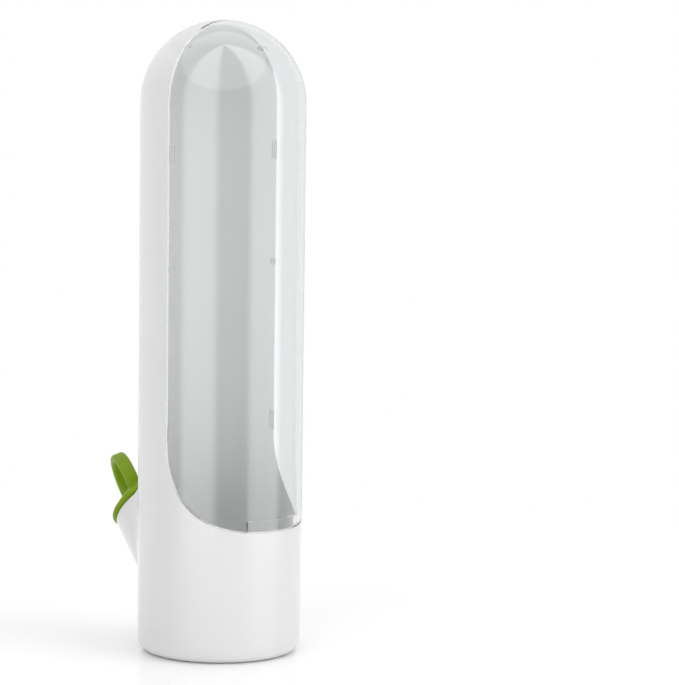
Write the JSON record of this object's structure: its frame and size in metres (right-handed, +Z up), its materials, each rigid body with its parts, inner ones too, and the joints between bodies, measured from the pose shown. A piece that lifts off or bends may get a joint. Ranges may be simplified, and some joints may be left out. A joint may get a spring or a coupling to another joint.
{
  "type": "herb keeper",
  "caption": "Upright tube keeper for cut herbs in water: white round cup with a filling spout and a silicone ring stopper, and a clear domed front cover that clips off.",
  "frame": {"origin": "middle of the flat underside", "axes": "+Z up along the tube, -Y out of the window, +Y towards the spout"},
  "size_m": [0.074, 0.1085, 0.284],
  "materials": {
    "white_abs": "gloss",
    "clear_plastic": "clear polished",
    "green_silicone": "satin"
  },
  "bodies": {
    "shell": {"rear_shell": "white_abs", "base_plate": "white_abs"},
    "cover": {"front_cover": "clear_plastic"},
    "stopper": {"stopper": "green_silicone"}
  },
  "joints": [
    {"name": "cover_pull", "type": "slide", "parent": "shell", "child": "cover", "axis": [0, -1, 0], "range_m": [0, 0.09]},
    {"name": "stopper_pull", "type": "slide", "parent": "shell", "child": "stopper", "axis": [0, 0.766, 0.6428], "range_m": [0, 0.04]}
  ]
}
